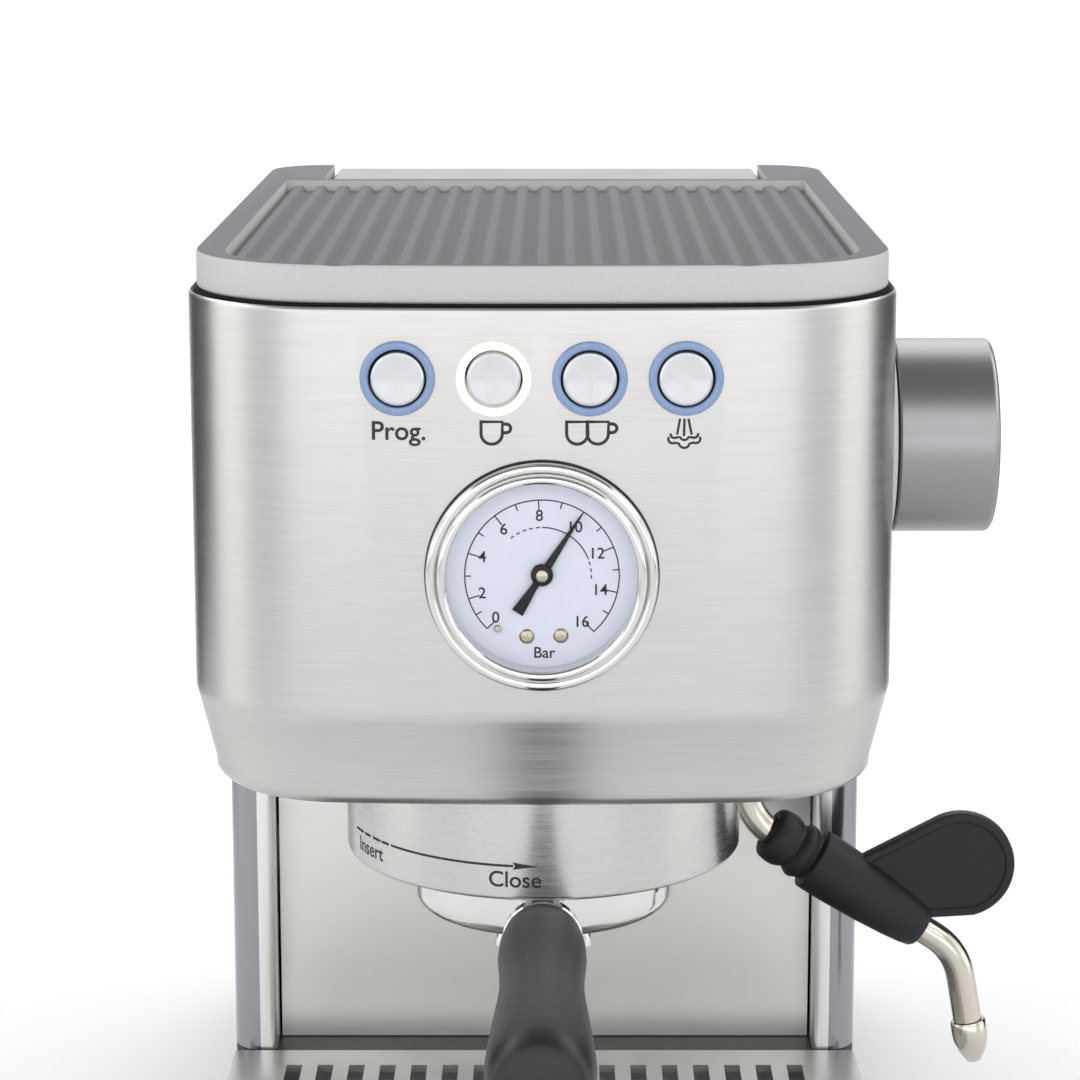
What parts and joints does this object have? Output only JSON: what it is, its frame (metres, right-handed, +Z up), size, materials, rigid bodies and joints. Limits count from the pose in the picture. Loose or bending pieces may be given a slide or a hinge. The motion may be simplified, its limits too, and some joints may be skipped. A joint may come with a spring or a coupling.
{
  "type": "espresso machine",
  "caption": "Compact pump espresso machine with cup warmer, front pressure gauge, ring-lit buttons, side steam knob, locking portafilter and swivelling steam wand.",
  "frame": {"origin": "on the counter, under the middle of the whole machine's box", "axes": "+X to the machine's right as the user faces it, +Y to the back, +Z up"},
  "size_m": [0.2512, 0.4124, 0.31],
  "materials": {
    "brushed_steel": "horizontal brushed grain",
    "satin_column": "satin silver",
    "chassis_steel": "plain sheet",
    "chrome": "polished",
    "spun_aluminium": "spun satin",
    "metallic_plastic": "silver metallic moulded plastic, satin",
    "warmer_plate": "matt grey enamel",
    "black_plastic": "fine moulded texture",
    "pointer_black": "satin black",
    "black_rubber": "matt",
    "ring_blue": "translucent blue ring light, off",
    "ring_lit": "ring light, on",
    "dial_card": "matt white print ground",
    "lens_glass": "clear",
    "tank_plastic": "smoked translucent",
    "cast_metal": "raw casting",
    "circuit_board": "solder mask",
    "silicone": "translucent",
    "red_plastic": "moulded"
  },
  "bodies": {
    "housing": {"base_pan": "black_plastic", "column_front_panel": "brushed_steel", "column_side_left": "satin_column", "column_side_right": "satin_column", "control_board": "circuit_board", "cup_warmer_plate": "warmer_plate", "foot_front_left": "black_rubber", "foot_front_right": "black_rubber", "foot_rear_left": "black_rubber", "foot_rear_right": "black_rubber", "gauge_bezel": "chrome", "gauge_case": "black_plastic", "gauge_dial": "dial_card", "gauge_lens": "lens_glass", "gauge_movement": "cast_metal", "group_collar": "brushed_steel", "group_gasket": "black_rubber", "group_head": "cast_metal", "head_bottom_plate": "chassis_steel", "head_shell": "brushed_steel", "knob_base_ring": "metallic_plastic", "power_inlet": "black_plastic", "pressure_pipe": "silicone", "pump": "black_plastic", "pump_bracket": "chassis_steel", "rear_chassis": "chassis_steel", "ring_one_cup": "ring_lit", "ring_program": "ring_blue", "ring_steam": "ring_blue", "ring_two_cups": "ring_blue", "shower_screen": "brushed_steel", "shower_screw": "brushed_steel", "solenoid_valve": "black_plastic", "steam_pipe": "brushed_steel", "steam_valve": "cast_metal", "switch_board": "circuit_board", "thermoblock": "cast_metal", "top_frame": "metallic_plastic", "wand_socket": "cast_metal", "water_hose": "silicone"},
    "button_program": {"button_program": "spun_aluminium"},
    "button_one_cup": {"button_one_cup": "spun_aluminium"},
    "button_two_cups": {"button_two_cups": "spun_aluminium"},
    "button_steam": {"button_steam": "spun_aluminium"},
    "gauge_pointer": {"gauge_pointer": "pointer_black"},
    "steam_knob": {"steam_knob": "spun_aluminium", "knob_shaft": "brushed_steel"},
    "steam_wand": {"steam_tube": "chrome", "wand_grip": "black_rubber", "wand_nozzle": "brushed_steel"},
    "portafilter": {"portafilter_bowl": "chrome", "portafilter_handle": "black_plastic", "filter_basket": "brushed_steel", "portafilter_spout": "chrome"},
    "drip_tray": {"drip_tray": "metallic_plastic"},
    "drip_grid": {"drip_grid": "brushed_steel"},
    "tray_float": {"tray_float": "red_plastic"},
    "water_tank": {"water_tank": "tank_plastic"},
    "tank_lid": {"tank_lid": "tank_plastic"},
    "power_switch": {"power_switch": "black_plastic"}
  },
  "joints": [
    {"name": "press_program", "type": "slide", "parent": "housing", "child": "button_program", "axis": [0.0501, 0.9987, 0], "range_m": [0, 0.0015], "stiffness_N_per_m": 300, "springref_m": -0.002},
    {"name": "press_one_cup", "type": "slide", "parent": "housing", "child": "button_one_cup", "axis": [0.0167, 0.9999, 0], "range_m": [0, 0.0015], "stiffness_N_per_m": 300, "springref_m": -0.002},
    {"name": "press_two_cups", "type": "slide", "parent": "housing", "child": "button_two_cups", "axis": [-0.0167, 0.9999, 0], "range_m": [0, 0.0015], "stiffness_N_per_m": 300, "springref_m": -0.002},
    {"name": "press_steam", "type": "slide", "parent": "housing", "child": "button_steam", "axis": [-0.0501, 0.9987, 0], "range_m": [0, 0.0015], "stiffness_N_per_m": 300, "springref_m": -0.002},
    {"name": "pointer_swing", "type": "hinge", "parent": "housing", "child": "gauge_pointer", "pos_m": [-0.02168, -0.1078, 0.2243], "axis": [0, 1, 0], "range_deg": [-167.3, 104.3], "stiffness_Nm_per_rad": 0.005},
    {"name": "steam_valve_turn", "type": "hinge", "parent": "housing", "child": "steam_knob", "pos_m": [0.09832, -0.0178, 0.2475], "axis": [1, 0, 0], "range_deg": [0, 180]},
    {"name": "wand_swivel", "type": "hinge", "parent": "housing", "child": "steam_wand", "pos_m": [0.04112, -0.0078, 0.169], "axis": [0, 0, 1], "range_deg": [-90, 12]},
    {"name": "portafilter_lock", "type": "hinge", "parent": "housing", "child": "portafilter", "pos_m": [-0.02168, -0.0338, 0.14], "axis": [0, 0, 1], "range_deg": [-50, 0]},
    {"name": "tray_slide", "type": "slide", "parent": "housing", "child": "drip_tray", "axis": [0, -1, 0], "range_m": [0, 0.15]},
    {"name": "grid_lift", "type": "slide", "parent": "drip_tray", "child": "drip_grid", "axis": [0, 0, 1], "range_m": [0, 0.04]},
    {"name": "float_rise", "type": "slide", "parent": "drip_tray", "child": "tray_float", "axis": [0, 0, 1], "range_m": [0, 0.01]},
    {"name": "tank_lift", "type": "slide", "parent": "housing", "child": "water_tank", "axis": [0, 0, 1], "range_m": [0, 0.27]},
    {"name": "tank_lid_hinge", "type": "hinge", "parent": "water_tank", "child": "tank_lid", "pos_m": [-0.02168, 0.1362, 0.3085], "axis": [1, 0, 0], "range_deg": [0, 100]},
    {"name": "power_rock", "type": "hinge", "parent": "housing", "child": "power_switch", "pos_m": [-0.12268, 0.1542, 0.084], "axis": [0, 1, 0], "range_deg": [-16, 0]}
  ]
}
